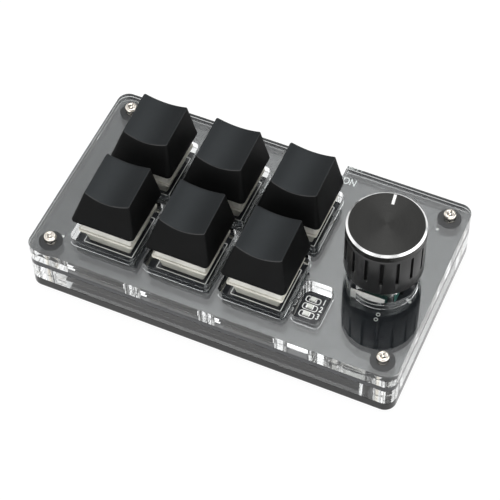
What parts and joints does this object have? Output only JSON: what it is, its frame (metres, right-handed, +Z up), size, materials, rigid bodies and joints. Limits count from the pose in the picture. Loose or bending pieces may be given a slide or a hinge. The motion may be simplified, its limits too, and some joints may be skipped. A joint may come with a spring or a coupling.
{
  "type": "programmable keypad",
  "caption": "Small desk keypad: sprung keys with sculpted caps and a push-and-turn dial on a layered clear acrylic case with status lights and a slide power switch.",
  "frame": {"origin": "on the desk under the middle of the case", "axes": "+X along the case towards the dial, +Y to the back edge with the power switch, +Z up"},
  "size_m": [0.1032, 0.058, 0.0384],
  "materials": {
    "foot_rubber": "soft matt rubber, moulded",
    "black_acrylic": "black acrylic sheet, laser cut and polished",
    "clear_acrylic": "clear acrylic sheet, laser cut and polished",
    "screw_steel": "zinc-plated steel",
    "battery_foil": "laminated foil pouch",
    "board_black": "black solder mask with white print",
    "socket_plastic": "black moulded plastic",
    "chip_epoxy": "moulded epoxy",
    "chip_ceramic": "fired ceramic with tinned ends",
    "connector_plastic": "pale moulded plastic",
    "can_steel": "tinned sheet steel and spring wire",
    "light_resin": "clear resin over a white base",
    "lever_plastic": "black moulded plastic",
    "contact_brass": "plated brass",
    "encoder_plastic": "teal moulded plastic",
    "plunger_plastic": "white moulded plastic",
    "bushing_alloy": "die-cast alloy",
    "knob_plastic": "black moulded plastic, satin",
    "knob_alloy": "black anodised, spun face, bright-cut chamfer",
    "switch_base_plastic": "pale grey-cream moulded plastic",
    "switch_top_plastic": "translucent moulded plastic",
    "stem_plastic": "slippery moulded plastic",
    "keycap_plastic": "fine-textured black plastic"
  },
  "bodies": {
    "case": {"rubber_feet": "foot_rubber", "bottom_plate": "black_acrylic", "case_nuts": "screw_steel", "mid_frame": "clear_acrylic", "battery": "battery_foil", "circuit_board": "board_black", "hot_swap_sockets": "socket_plastic", "controller_chip": "chip_epoxy", "crystal": "can_steel", "voltage_regulator": "chip_epoxy", "passives": "chip_ceramic", "battery_connector": "connector_plastic", "port_shell": "can_steel", "port_tongue": "socket_plastic", "status_lights": "light_resin", "power_switch_case": "can_steel", "switch_contacts": "contact_brass", "encoder_base": "encoder_plastic", "encoder_pins": "contact_brass", "encoder_dome": "can_steel", "encoder_bracket": "can_steel", "encoder_bushing": "bushing_alloy", "spacer_plate": "clear_acrylic", "top_plate": "clear_acrylic", "case_screws": "screw_steel", "switch_base_1": "switch_base_plastic", "switch_top_1": "switch_top_plastic", "switch_spring_1": "can_steel", "switch_base_2": "switch_base_plastic", "switch_top_2": "switch_top_plastic", "switch_spring_2": "can_steel", "switch_base_3": "switch_base_plastic", "switch_top_3": "switch_top_plastic", "switch_spring_3": "can_steel", "switch_base_4": "switch_base_plastic", "switch_top_4": "switch_top_plastic", "switch_spring_4": "can_steel", "switch_base_5": "switch_base_plastic", "switch_top_5": "switch_top_plastic", "switch_spring_5": "can_steel", "switch_base_6": "switch_base_plastic", "switch_top_6": "switch_top_plastic", "switch_spring_6": "can_steel"},
    "key_1": {"switch_stem_1": "stem_plastic", "keycap_1": "keycap_plastic"},
    "key_2": {"switch_stem_2": "stem_plastic", "keycap_2": "keycap_plastic"},
    "key_3": {"switch_stem_3": "stem_plastic", "keycap_3": "keycap_plastic"},
    "key_4": {"switch_stem_4": "stem_plastic", "keycap_4": "keycap_plastic"},
    "key_5": {"switch_stem_5": "stem_plastic", "keycap_5": "keycap_plastic"},
    "key_6": {"switch_stem_6": "stem_plastic", "keycap_6": "keycap_plastic"},
    "dial_plunger": {"encoder_plunger": "plunger_plastic"},
    "dial": {"encoder_shaft": "bushing_alloy", "knob_skirt": "knob_plastic", "knob_cap": "knob_alloy"},
    "power_lever": {"power_switch_slider": "lever_plastic"}
  },
  "joints": [
    {"name": "key_1_press", "type": "slide", "parent": "case", "child": "key_1", "axis": [0, 0, -1], "range_m": [0, 0.004], "stiffness_N_per_m": 75, "springref_m": -0.0045, "deforming": ["switch_spring_1"]},
    {"name": "key_2_press", "type": "slide", "parent": "case", "child": "key_2", "axis": [0, 0, -1], "range_m": [0, 0.004], "stiffness_N_per_m": 75, "springref_m": -0.0045, "deforming": ["switch_spring_2"]},
    {"name": "key_3_press", "type": "slide", "parent": "case", "child": "key_3", "axis": [0, 0, -1], "range_m": [0, 0.004], "stiffness_N_per_m": 75, "springref_m": -0.0045, "deforming": ["switch_spring_3"]},
    {"name": "key_4_press", "type": "slide", "parent": "case", "child": "key_4", "axis": [0, 0, -1], "range_m": [0, 0.004], "stiffness_N_per_m": 75, "springref_m": -0.0045, "deforming": ["switch_spring_4"]},
    {"name": "key_5_press", "type": "slide", "parent": "case", "child": "key_5", "axis": [0, 0, -1], "range_m": [0, 0.004], "stiffness_N_per_m": 75, "springref_m": -0.0045, "deforming": ["switch_spring_5"]},
    {"name": "key_6_press", "type": "slide", "parent": "case", "child": "key_6", "axis": [0, 0, -1], "range_m": [0, 0.004], "stiffness_N_per_m": 75, "springref_m": -0.0045, "deforming": ["switch_spring_6"]},
    {"name": "dial_push", "type": "slide", "parent": "case", "child": "dial_plunger", "axis": [0, 0, -1], "range_m": [0, 0.0005], "stiffness_N_per_m": 4000, "springref_m": -0.0003},
    {"name": "dial_turn", "type": "hinge", "parent": "dial_plunger", "child": "dial", "pos_m": [0.0371, 0.0001, 0.0172], "axis": [0, 0, 1], "continuous": true},
    {"name": "power_slide", "type": "slide", "parent": "case", "child": "power_lever", "axis": [1, 0, 0], "range_m": [0, 0.002]}
  ]
}
